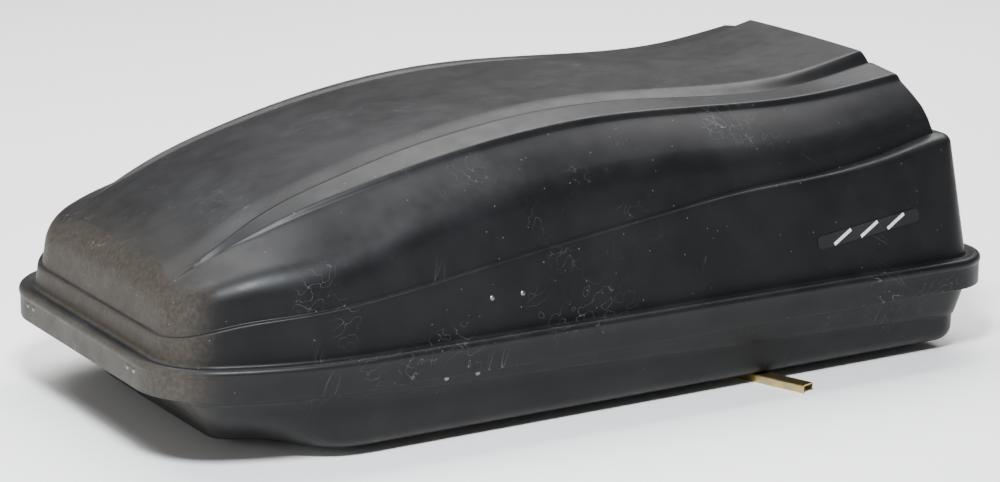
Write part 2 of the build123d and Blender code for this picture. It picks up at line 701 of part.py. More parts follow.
for x, y in clamp_spots(CLAMP_X):
    spot = f"{'front' if x < 0 else 'rear'}_{'right' if y < 0 else 'left'}"
    angle = 0.0 if x < 0 else math.copysign(TURNED_OUT, y)
    save(f"clamp_bar_{spot}", clamp_bar(x, y, angle))
    save(f"clamp_bolt_{spot}", clamp_bolt(x, y))
    save(f"clamp_plate_{spot}", spreader_plate(x, y))
    save(f"clamp_wing_nut_{spot}", wing_nut(x, y))
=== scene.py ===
import json
import math

import bmesh
import bpy
import numpy as np
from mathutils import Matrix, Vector


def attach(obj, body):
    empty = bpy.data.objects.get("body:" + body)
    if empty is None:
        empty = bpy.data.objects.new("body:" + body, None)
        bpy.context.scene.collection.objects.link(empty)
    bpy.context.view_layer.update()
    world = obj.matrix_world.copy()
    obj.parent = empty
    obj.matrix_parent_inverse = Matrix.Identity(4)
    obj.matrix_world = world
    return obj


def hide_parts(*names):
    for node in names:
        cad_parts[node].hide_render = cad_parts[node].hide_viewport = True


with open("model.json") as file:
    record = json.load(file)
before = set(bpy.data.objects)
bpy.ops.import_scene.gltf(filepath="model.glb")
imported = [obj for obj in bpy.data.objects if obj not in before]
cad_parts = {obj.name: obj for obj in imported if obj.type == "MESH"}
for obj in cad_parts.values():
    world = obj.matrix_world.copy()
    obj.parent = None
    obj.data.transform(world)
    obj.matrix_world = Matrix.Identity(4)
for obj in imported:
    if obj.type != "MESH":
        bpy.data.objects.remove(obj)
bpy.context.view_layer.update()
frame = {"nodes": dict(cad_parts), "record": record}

# --- driving dimensions, mm, heights above the seam ---
SEAM = 188.0
HALF_L = 850.0
HALF_W = 450.0
NOSE_R = 160.0
NOSE_TURN = math.radians(65.7)
FLANK_R = 700.0
NOSE_FLAT = HALF_W - FLANK_R + (FLANK_R - NOSE_R) * math.sin(NOSE_TURN)
CORNER_X = -HALF_L + NOSE_R
FLANK_X = CORNER_X + (FLANK_R - NOSE_R) * math.cos(NOSE_TURN)
FLANK_Y = HALF_W - FLANK_R
REAR_R = 95.0
REAR_X = HALF_L - REAR_R
REAR_Y = HALF_W - REAR_R
WALL_IN = 28.0
HOOD_IN = 36.0
DRAFT = math.tan(math.radians(9.0))
TAPER_X = 100.0
TAPER = 24.0 / (HALF_L - TAPER_X)
HOOD_REAR = 841.0
REAR_LEAN = math.tan(math.radians(20.0))
SHEET = 4.0

# x, then y and z of the centre panel's edge, the channel's inner and outer edge, and
# z of the shoulder corner
SECTIONS = np.array([
    (-880, 165, 42, 200, 34, 206, 30, 18),
    (-780, 168, 130, 230, 121, 236, 118, 104),
    (-723, 170, 166, 239, 157, 244, 151, 124),
    (-595, 171, 226, 238, 224, 263, 212, 136),
    (-468, 170, 268, 237, 266, 276, 252, 165),
    (-341, 169, 300, 234, 298, 283, 283, 200),
    (-214, 168, 324, 232, 321, 286, 307, 223),
    (-87, 167, 340, 229, 336, 286, 323, 237),
    (40, 166, 347, 225, 341, 283, 330, 246),
    (168, 166, 344, 222, 337, 280, 328, 248),
    (295, 167, 337, 219, 327, 277, 322, 243),
    (422, 169, 332, 217, 320, 276, 317, 241),
    (549, 174, 338, 215, 323, 277, 320, 248),
    (660, 180, 358, 214, 340, 282, 332, 262),
    (790, 186, 388, 214, 362, 288, 350, 284),
], float)
LEDGE = np.array([
    (-900, 24), (-816, 38), (-760, 56), (-695, 70), (-619, 77), (-426, 95), (-266, 116),
    (-100, 137), (68, 157), (200, 173), (310, 183), (465, 190), (557, 197), (651, 209),
    (746, 226), (900, 236),
], float)
TIP_X = -723.0           # where the channels begin
CREASE_IN = 13.0         # crease, inward of the channel's inner edge
CREASE_SINK = 4.0
EDGE_DROP = 4.5          # step along the channel's outer edge
EDGE_RUN = 9.0
CROWN = 2.5
ROUND_SHOULDER = 27.0
NOSE_ROUND = 33.0        # added to the shoulder's rounding towards the nose
ROUND_REAR = 8.0
TIP_RUN = 110.0          # over which the channels reach their full depth
LEDGE_ROUND = 21.0
PANEL_CROWN = 3.0        # how far the shoulder panel swells
FOOT_LIFT = 6.0          # the hood's foot rises above the ledge by this much
FOOT_LIFT_X = 465.0
FOOT_LIFT_RUN = 290.0
FOOT_START = 60          # first guesses, which settle() improves
CORNER_START = 120


def natural_spline(xs, ys):
    """A function through the points with continuous slope and curvature."""
    n = len(xs)
    h = np.diff(xs)
    a = np.eye(n)
    b = np.zeros(n)
    for i in range(1, n - 1):
        a[i, i - 1:i + 2] = (h[i - 1], 2 * (h[i - 1] + h[i]), h[i])
        b[i] = 6 * ((ys[i + 1] - ys[i]) / h[i] - (ys[i] - ys[i - 1]) / h[i - 1])
    m = np.linalg.solve(a, b)

    def value(x):
        x = np.asarray(x, float)
        i = np.clip(np.searchsorted(xs, x) - 1, 0, n - 2)
        left, right = xs[i], xs[i + 1]
        w = right - left
        s, t = (right - x) / w, (x - left) / w
        curve = ((s ** 3 - s) * m[i] + (t ** 3 - t) * m[i + 1]) * w * w / 6
        return s * ys[i] + t * ys[i + 1] + curve
    return value


SPLINES = [natural_spline(SECTIONS[:, 0], SECTIONS[:, k]) for k in range(1, 8)]
ledge_height = natural_spline(LEDGE[:, 0], LEDGE[:, 1])


def smooth(t):
    t = np.clip(t, 0, 1)
    return t * t * (3 - 2 * t)


def hood_wall_y(x, z):
    """Half width of the hood's side wall at x, z above the seam."""
    return HALF_W - HOOD_IN - z * DRAFT - np.maximum(0, x - TAPER_X) * TAPER


def top_height(x, y):
    """Height of the hood's top above the seam, channels included."""
    y = np.abs(y)
    ye, ze, yi, zi, yo, zo, zs = [f(x) for f in SPLINES]
    depth = smooth((x - TIP_X) / TIP_RUN)
    yc = yi - CREASE_IN * np.maximum(depth, 0.25)
    zc = zi - CREASE_SINK * depth
    ys = hood_wall_y(x, zs)
    run = EDGE_RUN * np.maximum(depth, 0.4)
    zp = zo - EDGE_DROP * depth - run * (zo - zs) / (ys - yo)
    panel = zp + (zs - zp) * (y - yo - run) / (ys - yo - run)
    panel += PANEL_CROWN * depth * np.sin(np.pi * np.clip((y - yo - run) / (ys - yo - run), 0, 1))
    edge = zo + (zp - zo) * smooth((y - yo) / run)
    band = zi + (zo - zi) * (y - yi) / (yo - yi)
    t = np.clip((y - yc) / (yi - yc), 0, 1)
    valley = zc + (zi - zc) * (1 - (1 - t) ** 2)
    t = np.clip((y - ye) / (yc - ye), 0, 1)
    riser = ze + (zc - ze) * t * t * (2 - t)
    centre = ze + CROWN * (1 - (y / ye) ** 2)
    bounds = [y <= ye, y <= yc, y <= yi, y <= yo, y <= yo + run]
    return np.select(bounds, [centre, riser, valley, band, edge], panel)


# --- plan samples round half of the outline, from the middle of the nose to the tail ---
N_FRONT, N_CORNER, N_FLANK, N_SIDE, N_REAR_ARC = 16, 26, 30, 110, 12
N_HOOD_END = 7

s_front = np.linspace(0, 1, N_FRONT, endpoint=False)
s_corner = np.linspace(0, 1, N_CORNER, endpoint=False)
s_flank = np.linspace(0, 1, N_FLANK, endpoint=False)
s_side = np.linspace(0, 1, N_SIDE)


def outline(inset, rear_y=None, arc_n=N_REAR_ARC):
    """Plan points of the half outline drawn in by inset (a number, or one per sample)."""
    n_rear = 0 if rear_y is None else len(rear_y)
    total = N_FRONT + N_CORNER + N_FLANK + N_SIDE + arc_n + n_rear
    d = np.broadcast_to(np.asarray(inset, float), (total,))
    cuts = np.cumsum([N_FRONT, N_CORNER, N_FLANK, N_SIDE, arc_n])
    d1, d2, d3, d4, d5, d6 = np.split(d, cuts)
    a2 = math.pi - NOSE_TURN * s_corner
    a3 = (math.pi - NOSE_TURN) + (math.pi / 2 - math.pi + NOSE_TURN) * s_flank
    a5 = math.pi / 2 * (1 - np.linspace(0, 1, arc_n + 2)[1:-1])
    parts = [
        (-HALF_L + d1, NOSE_FLAT * s_front),
        (CORNER_X + (NOSE_R - d2) * np.cos(a2), NOSE_FLAT + (NOSE_R - d2) * np.sin(a2)),
        (FLANK_X + (FLANK_R - d3) * np.cos(a3), FLANK_Y + (FLANK_R - d3) * np.sin(a3)),
        (FLANK_X + (REAR_X - FLANK_X) * s_side, HALF_W - d4),
        (REAR_X + (REAR_R - d5) * np.cos(a5), REAR_Y + (REAR_R - d5) * np.sin(a5)),
    ]
    if n_rear:
        parts.append((HALF_L - d6, rear_y * REAR_Y))
    return np.concatenate([p[0] for p in parts]), np.concatenate([p[1] for p in parts])


def bezier(a, c, b, n, ends=(True, True)):
    """n + 1 points from a to b, rounded by way of c; either end may be left out."""
    ts = np.linspace(0, 1, n + 1)
    ts = ts[(0 if ends[0] else 1):(n + 1 if ends[1] else n)]
    return [(1 - t) ** 2 * a + 2 * t * (1 - t) * c + t * t * b for t in ts]


def unit(v):
    return v / np.maximum(np.linalg.norm(v, axis=-1, keepdims=True), 1e-9)


def stack(x, y, z):
    return np.stack(np.broadcast_arrays(x, y, z), -1).astype(float)


# --- hood: rows of points from its foot to the ridge line, over nose and side ---
N_U = N_FRONT + N_CORNER + N_FLANK + N_SIDE
SIDE = slice(N_FRONT + N_CORNER + N_FLANK, N_U)


def hood_plan(z):
    """Plan points of the hood wall at height z above the seam, one per sample."""
    z = np.broadcast_to(z, (N_U,))
    x, y = outline(HOOD_IN + z * DRAFT, arc_n=0)
    x, y = x.copy(), y.copy()
    end = HOOD_REAR - z[SIDE] * REAR_LEAN - ROUND_REAR
    x[SIDE] = FLANK_X + s_side * (end - FLANK_X)
    y[SIDE] = hood_wall_y(x[SIDE], z[SIDE])
    return x, y


def settle(height, start):
    """The wall's points where their height is height(x, y)."""
    z = np.full(N_U, float(start))
    for _ in range(40):
        x, y = hood_plan(z)
        z = 0.5 * z + 0.5 * height(x, y)
    return stack(x, y, z)


def inner_row(y_of_x, x_front, y_front, x_start):
    """A row of the top that follows y_of_x along the side and closes round the nose."""
    x_c = x_start + (FLANK_X - x_start) * s_flank
    y_start = float(y_of_x(np.array([x_start]))[0])
    t = s_corner
    end = HOOD_REAR - 360 * REAR_LEAN
    for _ in range(20):
        end = HOOD_REAR - top_height(end, float(y_of_x(np.array([end]))[0])) * REAR_LEAN
    x_d = FLANK_X + s_side * (float(end) - ROUND_REAR - FLANK_X)
    x = np.concatenate([
        np.full(N_FRONT, x_front),
        ((1 - t) ** 2 + 2 * t * (1 - t)) * x_front + t * t * x_start,
        x_c, x_d,
    ])
    y = np.concatenate([
        y_front * s_front,
        (1 - t) ** 2 * y_front + (2 * t * (1 - t) + t * t) * y_start,
        y_of_x(x_c), y_of_x(x_d),
    ])
    return stack(x, y, top_height(x, y))


def mix(a, b, t):
    """A row between two rows in plan, with its own height."""
    x = a[:, 0] + (b[:, 0] - a[:, 0]) * t
    y = a[:, 1] + (b[:, 1] - a[:, 1]) * t
    return stack(x, y, top_height(x, y))


def edge_y(offset, column):
    return lambda x: SPLINES[column](x) + offset * np.maximum(smooth((x - TIP_X) / TIP_RUN), 0.3)


def foot_height(x, _y):
    """Height of the hood's foot, which lifts off the ledge towards the rear."""
    return ledge_height(x) + FOOT_LIFT * smooth((x - FOOT_LIFT_X) / FOOT_LIFT_RUN)


foot = settle(foot_height, FOOT_START)
corner = settle(top_height, CORNER_START)
outer_foot = inner_row(edge_y(EDGE_RUN, 4), -739.0, 226.0, -726.0)
outer_edge = inner_row(edge_y(0.0, 4), -735.0, 224.0, -722.0)
inner_edge = inner_row(edge_y(0.0, 2), -731.0, 222.0, -718.0)
crease = inner_row(edge_y(-CREASE_IN, 2), -726.0, 218.0, -711.0)
centre_edge = inner_row(edge_y(0.0, 0), -668.0, 150.0, -640.0)
ridge_x = np.concatenate([
    -630 + 20 * s_front, -610 + 50 * s_corner, -560 + (FLANK_X + 560) * s_flank,
    FLANK_X + s_side * (HOOD_REAR - 373.0 * REAR_LEAN - ROUND_REAR - FLANK_X),
])
ridge = stack(ridge_x, 0.0, top_height(ridge_x, np.zeros(N_U)))

down = unit(foot - corner)
inward = unit(mix(corner, outer_foot, 0.15) - corner)
reach = np.linalg.norm(foot - corner, axis=1, keepdims=True)
wanted = ROUND_SHOULDER + NOSE_ROUND * smooth((-400 - corner[:, :1]) / 200)
turn = np.minimum(wanted, 0.48 * reach)
round_low = corner + down * turn
round_high = corner + inward * turn
N_WALL = 7
foot_up = foot - down * 4.0
wall_rows = [foot + (foot_up - foot) * t for t in (0.0, 0.5)]
wall_rows += [foot_up + (round_low - foot_up) * t for t in np.linspace(0, 1, N_WALL)]
top_rows = bezier(round_low, corner, round_high, 12, (False, True))


def toward(a, b, ts):
    """Rows between two rows; near the first they leave its own points smoothly."""
    rows = []
    for t in ts:
        row = mix(a, b, t)
        gap = a[:, 2] - top_height(a[:, 0], a[:, 1])
        row[:, 2] += gap * (1 - t) ** 3
        rows.append(row)
    return rows


top_rows += toward(round_high, outer_foot, np.linspace(0, 1, 11)[1:])
top_rows += [mix(outer_foot, outer_edge, t) for t in (0.25, 0.5, 0.75, 1.0)]
top_rows += [mix(outer_edge, inner_edge, t) for t in (0.06, 0.3, 0.6, 0.94, 1.0)]
top_rows += [mix(inner_edge, crease, t) for t in (0.15, 0.35, 0.6, 0.85, 1.0)]
top_rows += [mix(crease, centre_edge, t) for t in (0.04, 0.12, 0.28, 0.45, 0.62, 0.8, 0.9, 1.0)]
top_rows += [mix(centre_edge, ridge, t) for t in (0.04, 0.12, 0.25, 0.4, 0.55, 0.7, 0.85)]
top_rows += [ridge]
hood = np.array(wall_rows + top_rows)

# the rows turn over the rear edge onto the leaning rear face
N_W = len(wall_rows)
end_point = hood[:, -1]
before = hood[:, -2]
along = unit(end_point - before)
short_by = HOOD_REAR - end_point[:, 2] * REAR_LEAN - end_point[:, 0]
grow = short_by / (along[:, 0] + along[:, 2] * REAR_LEAN)
edge_point = end_point + along * grow[:, None]
foot_y = edge_point[0, 1] - ROUND_REAR
goal = edge_point.copy()
goal[:, 2] = edge_point[0, 2]
share = np.clip(edge_point[:, 1] / edge_point[N_W - 1, 1], 0, 1)
goal[:, 1] = foot_y * share
goal[:, 0] = HOOD_REAR - goal[:, 2] * REAR_LEAN
drop_to = unit(goal - edge_point)
sideways = np.zeros_like(drop_to)
sideways[:, 1] = -1.0
weight = smooth((np.arange(len(hood)) - N_W) / 12.0)[:, None]
leave = unit(sideways * (1 - weight) + drop_to * weight)
leave[:, 0] = -leave[:, 2] * REAR_LEAN
landed = edge_point + leave * ROUND_REAR
turned = np.array([
    (1 - t) ** 2 * end_point + 2 * t * (1 - t) * edge_point + t * t * landed
    for t in np.linspace(0, 1, N_HOOD_END + 1)[1:]
])
hood = np.concatenate([hood, turned.transpose(1, 0, 2)], axis=1)

tops = hood[N_W - 1:, -1]
rear_share = np.clip(tops[:, 1] / tops[0, 1], 0, 1)
rear_foot = np.stack([
    np.full(len(tops), hood[0, -1, 0]), hood[0, -1, 1] * rear_share,
    np.full(len(tops), hood[0, -1, 2]),
], -1)
levels = np.linalg.norm(hood[:N_W, -1] - hood[0, -1], axis=1)
levels = levels / levels[-1]
rear_face = rear_foot[None] + (tops - rear_foot)[None] * levels[:, None, None]

# --- lower wall, ledge and lip, all the way round ---
foot_line = np.concatenate([hood[0], rear_foot[1:]])
N_ALL = len(foot_line)


def ring(inset):
    x, y = outline(inset, rear_y=rear_share[1:], arc_n=N_HOOD_END)
    return x, y


ledge_z = np.full(N_ALL, 60.0)
for _ in range(40):
    ring_x, ring_y = ring(WALL_IN + ledge_z * DRAFT)
    ledge_z = 0.5 * ledge_z + 0.5 * ledge_height(ring_x)
ledge_edge = stack(ring_x, ring_y, ledge_z)
ledge_in = unit(foot_line - ledge_edge)
ledge_width = np.linalg.norm(foot_line - ledge_edge, axis=1, keepdims=True)
ledge_turn = np.minimum(0.5 * ledge_width, LEDGE_ROUND)
low_x, low_y = ring(WALL_IN + (ledge_z - 10) * DRAFT)
ledge_down = unit(stack(low_x, low_y, ledge_z - 10) - ledge_edge)
ledge_low = ledge_edge + ledge_down * ledge_turn
ledge_high = ledge_edge + ledge_in * ledge_turn

LIP = [
    (0.8, -54.0), (0.1, -53.4), (0.0, -52.0), (0.0, -40.0), (0.0, -26.0), (0.0, -14.5),
    (-0.3, -13.0), (-1.0, -11.8), (-1.6, -10.2), (-1.9, -8.2), (-1.8, -5.6), (-1.1, -3.0),
    (0.4, -0.6), (2.6, 1.2), (5.6, 2.4), (9.0, 2.8), (12.5, 2.2), (16.0, 0.6), (19.0, -0.8),
    (22.5, -1.6), (25.4, -1.2), (27.2, 0.6), (28.4, 4.2),
]
WALL_START = LIP[-1][1]


def lip_row(inset, z):
    x, y = ring(inset)
    return stack(x, y, z)


lower = [lip_row(inset, z) for inset, z in LIP]
wall_z = ledge_low[:, 2]
for t in np.linspace(0, 1, 10)[1:-1]:
    z = WALL_START + (wall_z - WALL_START) * t
    x, y = ring(WALL_IN + z * DRAFT)
    lower.append(stack(x, y, z))
lower += bezier(ledge_low, ledge_edge, ledge_high, 7)
lower += [ledge_high + (foot_line - ledge_high) * t for t in (0.4, 0.75, 1.0)]
lower = np.array(lower)


def add_grid(verts, faces, grid, flip=False):
    """Adds a grid of points, and its quads, to the lists."""
    rows, cols = grid.shape[:2]
    start = len(verts)
    verts.extend(grid.reshape(-1, 3).tolist())
    for i in range(rows - 1):
        for j in range(cols - 1):
            a = start + i * cols + j
            quad = (a, a + 1, a + cols + 1, a + cols)
            faces.append(quad[::-1] if flip else quad)


def make_mesh(name, grids, weld=2e-5):
    """A mesh from half grids on the +Y side, mirrored and welded, in metres."""
    verts, faces = [], []
    for grid, flip in grids:
        add_grid(verts, faces, grid, flip)
        other = grid.copy()
        other[..., 1] *= -1
        add_grid(verts, faces, other, not flip)
    points = np.array(verts)
    points[:, 2] += SEAM
    mesh = bpy.data.meshes.new(name)
    mesh.from_pydata((points * 0.001).tolist(), [], faces)
    bm = bmesh.new()
    bm.from_mesh(mesh)
    bmesh.ops.remove_doubles(bm, verts=bm.verts, dist=weld)
    bmesh.ops.dissolve_degenerate(bm, edges=bm.edges, dist=1e-6)
    bm.to_mesh(mesh)
    bm.free()
    mesh.shade_smooth()
    piece = bpy.data.objects.new(name, mesh)
    bpy.context.scene.collection.objects.link(piece)
    return piece


def thicken(piece, thickness, offset=-1.0):
    """Gives an open skin its sheet thickness."""
    solid = piece.modifiers.new("sheet", "SOLIDIFY")
    solid.thickness = thickness * 0.001
    solid.offset = offset
    solid.use_rim = True
    return piece


lid = make_mesh("lid_skin", [(lower, True), (hood, True), (rear_face, True)])
thicken(lid, SHEET)
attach(lid, "lid")
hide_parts("lid_shell")

# --- tray ---
SKIRT_LOW = -54.0
FLOOR = 16.0 - SEAM
TRAY_IN = 25.0
CORNER_DRAW = 115.0      # how far the front corners are drawn in at the floor
TRAY_DRAFT = math.tan(math.radians(18.0))
LOWER_DRAFT = math.tan(math.radians(3.0))
BOTTOM_ROUND = 30.0
PROW = (-800.0, -60.0, -704.0, -172.0)
rear_tray = np.linspace(1, 0, 14)


def prow_x(z):
    """The sloping prow's x at height z."""
    return PROW[0] + (PROW[1] - z) * (PROW[2] - PROW[0]) / (PROW[1] - PROW[3])


def tray_row(inset, z):
    x, y = outline(inset, rear_y=rear_tray[1:], arc_n=N_REAR_ARC)
    z = np.broadcast_to(z, x.shape)
    deep = np.clip((SKIRT_LOW - z) / (SKIRT_LOW - FLOOR), 0, 1) ** 2.0 * CORNER_DRAW
    x, y = x + deep * TUCK_X, y - deep * TUCK_Y
    soft = 16.0
    gap = prow_x(z) - x
    x = x + 0.5 * (gap + np.sqrt(gap * gap + soft * soft)) * (z < SKIRT_LOW + 8)
    return stack(x, y, z)


tuck = np.concatenate([
    smooth(s_front) * 0.6, 0.6 + 0.4 * np.sin(np.pi * s_corner / 2), (1 - smooth(s_flank)) ** 1.5,
    np.zeros(N_SIDE + N_REAR_ARC + len(rear_tray) - 1),
])
TUCK_X, TUCK_Y = tuck * 0.7, tuck * 0.7
plan_x = outline(TRAY_IN, rear_y=rear_tray[1:], arc_n=N_REAR_ARC)[0]
step_z = -72.0 - np.maximum(-40, plan_x + 560.0) * (42.0 / 1300.0)
RIM = [
    (10.0, -5.5), (8.4, -5.7), (8.0, -6.2), (8.0, -9.0), (8.8, -9.5), (TRAY_IN - 2, -9.6),
    (TRAY_IN, -11.5), (TRAY_IN, -30.0), (TRAY_IN, -45.0),
]
tray = [tray_row(inset, z) for inset, z in RIM]
for t in np.linspace(0, 1, 6):
    z = SKIRT_LOW + (step_z - SKIRT_LOW) * t
    tray.append(tray_row(TRAY_IN + (SKIRT_LOW - z) * TRAY_DRAFT, z))
upper_end = TRAY_IN + (SKIRT_LOW - step_z) * TRAY_DRAFT
lower_start = np.maximum(upper_end + 2.5, 0) + 1.0
for inset, dz in ((upper_end + 1.0, -0.7), (lower_start - 1.0, -1.4), (lower_start, -3.0)):
    tray.append(tray_row(inset, step_z + dz))
base_inset = lower_start
for t in (0.25, 0.5, 0.75, 1.0):
    z = step_z - 3 + (FLOOR + BOTTOM_ROUND - step_z + 3) * t
    tray.append(tray_row(base_inset + (step_z - z) * LOWER_DRAFT, z))
last_inset = base_inset + (step_z - FLOOR - BOTTOM_ROUND) * LOWER_DRAFT
for a in np.linspace(0, math.pi / 2, 9)[1:]:
    inset = last_inset + BOTTOM_ROUND * (1 - math.cos(a))
    tray.append(tray_row(inset, FLOOR + BOTTOM_ROUND * (1 - math.sin(a))))
bottom = tray[-1]
for t in (0.15, 0.5, 1.0):
    row = bottom.copy()
    mid = np.clip(bottom[:, 0], -560, 640)
    row[:, 0] = bottom[:, 0] + (mid - bottom[:, 0]) * t
    row[:, 1] = bottom[:, 1] * (1 - t)
    tray.append(row)
base = make_mesh("tray_skin", [(np.array(tray), False)])
thicken(base, SHEET)
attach(base, "base")
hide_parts("base_shell")


# --- materials ---
def node_tree(name):
    mat = bpy.data.materials.new(name)
    mat.use_nodes = True
    nt = mat.node_tree
    shader = nt.nodes["Principled BSDF"]
    return mat, nt, shader


def add(nt, kind, inputs=None, **props):
    node = nt.nodes.new(kind)
    for key, value in props.items():
        setattr(node, key, value)
    for key, value in (inputs or {}).items():
        if hasattr(value, "is_linked"):
            nt.links.new(value, node.inputs[key])
        else:
            node.inputs[key].default_value = value
    return node


def noise(nt, coords, scale, detail=3.0, rough=0.55, distortion=0.0):
    return add(nt, "ShaderNodeTexNoise", {
        "Vector": coords, "Scale": scale, "Detail": detail, "Roughness": rough,
        "Distortion": distortion,
    }).outputs["Fac"]


def ramp(nt, value, low, high, out_low=0.0, out_high=1.0):
    return add(nt, "ShaderNodeMapRange", {
        "Value": value, "From Min": low, "From Max": high, "To Min": out_low, "To Max": out_high,
    }, interpolation_type="SMOOTHSTEP").outputs["Result"]


def maths(nt, kind, a, b=0.0, c=0.0):
    return add(nt, "ShaderNodeMath", {0: a, 1: b, 2: c}, operation=kind).outputs[0]


def blend_colour(nt, fac, a, b):
    node = add(nt, "ShaderNodeMix", data_type="RGBA")
    for index, value in ((0, fac), (6, a), (7, b)):
        if hasattr(value, "is_linked"):
            nt.links.new(value, node.inputs[index])
        else:
            node.inputs[index].default_value = value
    return node.outputs[2]


def colour(r, g, b):
    return (r, g, b, 1.0)


def scratches(nt, coords, angle, scale, width, seed):
    """Thin random lines in one direction, as a mask."""
    turned = add(nt, "ShaderNodeMapping", {
        "Vector": coords, "Rotation": angle, "Location": (seed, seed * 0.7, seed * 1.3),
    }).outputs[0]
    longer = add(nt, "ShaderNodeMapping", {
        "Vector": turned, "Scale": (scale * 0.03, scale, scale),
    }).outputs[0]
    field = noise(nt, longer, 1.0, 1.0, 0.3)
    line = maths(nt, "ABSOLUTE", maths(nt, "SUBTRACT", field, 0.5))
    thin = ramp(nt, line, 0.0, width, 1.0, 0.0)
    patches = ramp(nt, noise(nt, turned, 4.0, 2.0), 0.60, 0.68)
    return maths(nt, "MULTIPLY", thin, patches)


def moulded_plastic(name, base, rough, grain=0.10, dust=1.0, wear=1.0):
    """Black moulded sheet: fine grain, cloudy wear, hair scratches, dust where it settles."""
    mat, nt, shader = node_tree(name)
    coords = add(nt, "ShaderNodeTexCoord").outputs["Object"]
    split = add(nt, "ShaderNodeSeparateXYZ", {0: coords})
    geometry = add(nt, "ShaderNodeNewGeometry")
    normal = add(nt, "ShaderNodeSeparateXYZ", {0: geometry.outputs["Normal"]})
    cloudy = noise(nt, coords, 5.0, 4.0, 0.6)
    patch = noise(nt, coords, 22.0, 5.0, 0.65)
    lines = maths(nt, "MAXIMUM",
                  scratches(nt, coords, (0.3, 0.5, 0.9), 60.0, 0.010, 0.0),
                  scratches(nt, coords, (1.1, -0.4, -0.5), 75.0, 0.008, 3.7))
    lines = maths(nt, "MAXIMUM", lines, scratches(nt, coords, (0.2, 1.2, 0.1), 50.0, 0.008, 8.1))
    dots = add(nt, "ShaderNodeTexVoronoi", {"Vector": coords, "Scale": 95.0})
    chosen = add(nt, "ShaderNodeSeparateColor", {0: dots.outputs["Color"]}).outputs[0]
    specks = maths(nt, "MULTIPLY", ramp(nt, dots.outputs["Distance"], 0.13, 0.07),
                   ramp(nt, chosen, 0.86, 0.90))
    front = maths(nt, "MULTIPLY",
                  ramp(nt, split.outputs["X"], -0.66, -0.82),
                  ramp(nt, normal.outputs["X"], -0.25, -0.9))
    film = noise(nt, coords, 120.0, 6.0, 0.7)
    dirt = maths(nt, "MULTIPLY", front, ramp(nt, film, 0.25, 0.8, 0.35, 1.0))
    dirt = maths(nt, "MULTIPLY", dirt, 0.42 * dust)
    light_dust = maths(nt, "MULTIPLY",
                       maths(nt, "MULTIPLY", ramp(nt, normal.outputs["Z"], 0.2, 1.0),
                             ramp(nt, cloudy, 0.35, 0.75)), 0.03 * dust)
    dark = colour(*base)
    pale = colour(*[c * 1.8 + 0.001 for c in base])
    tone = blend_colour(nt, ramp(nt, cloudy, 0.3, 0.75), dark, pale)
    tone = blend_colour(nt, light_dust, tone, colour(0.16, 0.155, 0.145))
    tone = blend_colour(nt, dirt, tone, colour(0.135, 0.112, 0.085))
    tone = blend_colour(nt, maths(nt, "MULTIPLY", specks, 0.35 * wear), tone, colour(0.32, 0.30, 0.27))
    tone = blend_colour(nt, maths(nt, "MULTIPLY", lines, 0.22 * wear), tone, colour(0.30, 0.30, 0.30))
    nt.links.new(tone, shader.inputs["Base Color"])
    rough_map = ramp(nt, patch, 0.25, 0.8, rough - 0.05, rough + 0.08)
    rough_map = maths(nt, "ADD", rough_map, maths(nt, "MULTIPLY", dirt, 0.35))
    nt.links.new(rough_map, shader.inputs["Roughness"])
    pits = add(nt, "ShaderNodeTexVoronoi", {"Vector": coords, "Scale": 700.0}).outputs["Distance"]
    fine = noise(nt, coords, 900.0, 3.0, 0.6)
    height = maths(nt, "ADD", maths(nt, "MULTIPLY", pits, 0.6), fine)
    bump = add(nt, "ShaderNodeBump", {"Strength": grain, "Distance": 0.0006, "Height": height})
    wave = add(nt, "ShaderNodeBump", {
        "Strength": 0.25, "Distance": 0.004, "Height": noise(nt, coords, 7.0, 1.0, 0.4),
        "Normal": bump.outputs[0],
    })
    nt.links.new(wave.outputs[0], shader.inputs["Normal"])
    shader.inputs["IOR"].default_value = 1.27
    return mat


def metal(name, base, rough, metallic=1.0, grain=60.0, strength=0.08, tint=None):
    """Plain or plated metal with a soft grain, stains and uneven polish."""
    mat, nt, shader = node_tree(name)
    coords = add(nt, "ShaderNodeTexCoord").outputs["Object"]
    stain = noise(nt, coords, grain, 4.0, 0.6)
    fine = noise(nt, coords, grain * 12, 3.0, 0.6)
    dark = colour(*[c * 0.62 for c in base]) if tint is None else colour(*tint)
    tone = blend_colour(nt, ramp(nt, stain, 0.32, 0.72), dark, colour(*base))
    nt.links.new(tone, shader.inputs["Base Color"])
    nt.links.new(ramp(nt, fine, 0.3, 0.75, rough - 0.07, rough + 0.1), shader.inputs["Roughness"])
    bump = add(nt, "ShaderNodeBump", {"Strength": strength, "Distance": 0.0004, "Height": fine})
    nt.links.new(bump.outputs[0], shader.inputs["Normal"])
    shader.inputs["Metallic"].default_value = metallic
    return mat


